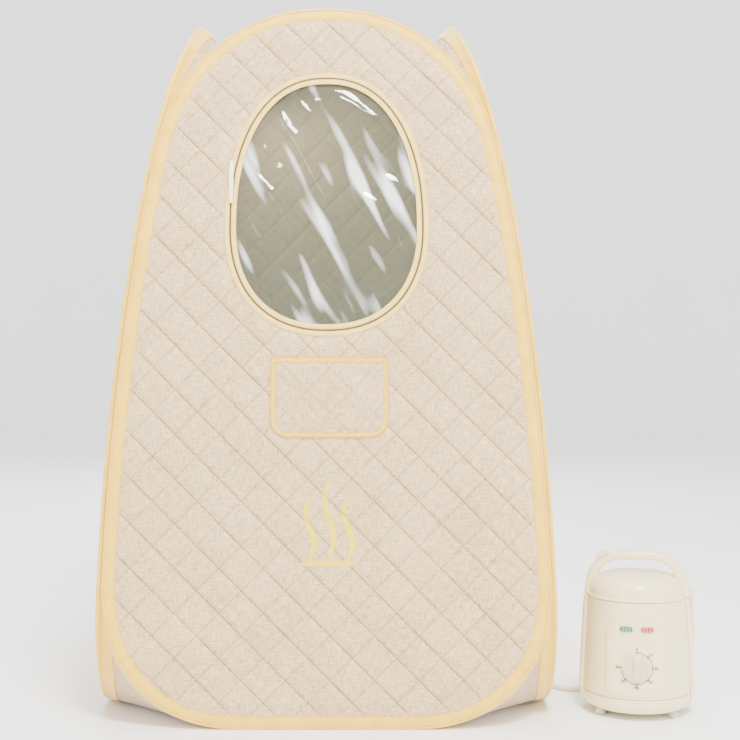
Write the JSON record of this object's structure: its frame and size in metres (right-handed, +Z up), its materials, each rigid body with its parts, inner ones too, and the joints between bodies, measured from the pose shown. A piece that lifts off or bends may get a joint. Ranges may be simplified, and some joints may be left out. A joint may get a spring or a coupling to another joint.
{
  "type": "portable steam sauna",
  "caption": "Pop-up quilted steam sauna tent with a clear zipped window, a side door and a pocket, joined by a hose to an ivory steam generator with a timer dial.",
  "frame": {"origin": "on the floor under the centre of the tent, on the underside of the floor cloth", "axes": "+Z up, -Y the tent's front with the window, +X to the right, where the steam generator stands"},
  "size_m": [1.1585, 0.876, 1.38],
  "materials": {
    "quilt": "linen-look quilted fabric",
    "binding": "satin woven tape",
    "spring_steel": "plain spring steel",
    "lining": "linen-look fabric",
    "film": "clear soft film",
    "zip": "coil zip",
    "slider": "enamelled",
    "emblem": "gold print",
    "ivory": "pearl ivory moulding",
    "rubber": "soft",
    "green_lamp": "clear lens",
    "red_lamp": "clear lens",
    "steel": "drawn stainless",
    "heater": "cast",
    "black": "moulded",
    "hose": "silicone hose"
  },
  "bodies": {
    "root": {"front_hoop_sleeve": "binding", "right_hoop_sleeve": "binding", "back_hoop_sleeve": "binding", "left_hoop_sleeve": "binding", "front_spring_hoop": "spring_steel", "right_spring_hoop": "spring_steel", "back_spring_hoop": "spring_steel", "left_spring_hoop": "spring_steel", "front_panel": "quilt", "right_panel": "quilt", "back_panel": "quilt", "left_panel": "quilt", "roof_cloth": "lining", "floor_cloth": "lining", "window_zip_tape": "binding", "window_zip_teeth": "zip", "door_zip_tape": "binding", "door_zip_teeth": "zip", "pocket": "quilt", "pocket_binding": "binding", "steam_emblem": "emblem", "steam_inlet_port": "ivory", "port_nut": "ivory", "inlet_elbow": "ivory", "steam_hose": "hose", "base_pan": "ivory", "body_shell": "ivory", "left_side_frame": "ivory", "right_side_frame": "ivory", "foot_front_left": "rubber", "foot_front_right": "rubber", "foot_rear_left": "rubber", "foot_rear_right": "rubber", "control_plate": "ivory", "power_lamp": "green_lamp", "heat_lamp": "red_lamp", "timer_unit": "black", "water_tank": "steel", "heating_plate": "heater", "thermal_cutout": "black", "hinge_strap": "ivory", "hinge_pin": "steel", "steam_outlet": "ivory", "mains_inlet": "black"},
    "window_flap": {"window_film": "film", "window_flap_binding": "binding"},
    "window_slider": {"window_zip_slider": "slider"},
    "window_pull": {"window_zip_pull": "slider"},
    "door_flap": {"door_panel": "quilt", "door_flap_binding": "binding"},
    "door_slider": {"door_zip_slider": "slider"},
    "door_pull": {"door_zip_pull": "slider"},
    "timer_knob": {"timer_dial": "ivory", "timer_shaft": "steel"},
    "lid_assembly": {"lid": "ivory", "lid_gasket": "rubber", "handle": "ivory", "button_bezel": "ivory", "lid_knuckle": "ivory"},
    "lid_button": {"release_button": "ivory"}
  },
  "joints": [
    {"name": "window_hinge", "type": "hinge", "parent": "root", "child": "window_flap", "pos_m": [-0.1841, -0.37707, 0.945], "axis": [0, -0.1562, -0.9877], "range_deg": [0, 90]},
    {"name": "window_zip", "type": "slide", "parent": "root", "child": "window_slider", "axis": [-0.1315, -0.1752, -0.9757], "range_m": [0, 0.05]},
    {"name": "window_pull_swing", "type": "hinge", "parent": "window_slider", "child": "window_pull", "pos_m": [-0.18277, -0.3587, 1.04], "axis": [-1, 0, 0], "range_deg": [0, 150]},
    {"name": "door_hinge", "type": "hinge", "parent": "root", "child": "door_flap", "pos_m": [-0.41797, 0.2501, 0.62], "axis": [-0.0968, 0, -0.9953], "range_deg": [0, 120]},
    {"name": "door_zip", "type": "slide", "parent": "root", "child": "door_slider", "axis": [-0.1157, -0.0313, -0.9928], "range_m": [0, 0.06]},
    {"name": "door_pull_swing", "type": "hinge", "parent": "door_slider", "child": "door_pull", "pos_m": [-0.40196, -0.25529, 0.748], "axis": [0, 1, 0], "range_deg": [0, 150]},
    {"name": "timer_turn", "type": "hinge", "parent": "root", "child": "timer_knob", "pos_m": [0.58876, -0.39415, 0.104], "axis": [0.1908, 0.9816, 0], "range_deg": [0, 270]},
    {"name": "lid_hinge", "type": "hinge", "parent": "root", "child": "lid_assembly", "pos_m": [0.71354, -0.31032, 0.226], "axis": [0.1908, 0.9816, 0], "range_deg": [0, 95]},
    {"name": "button_press", "type": "slide", "parent": "lid_assembly", "child": "lid_button", "axis": [0.5387, -0.1047, -0.8359], "range_m": [0, 0.002], "stiffness_N_per_m": 300}
  ]
}
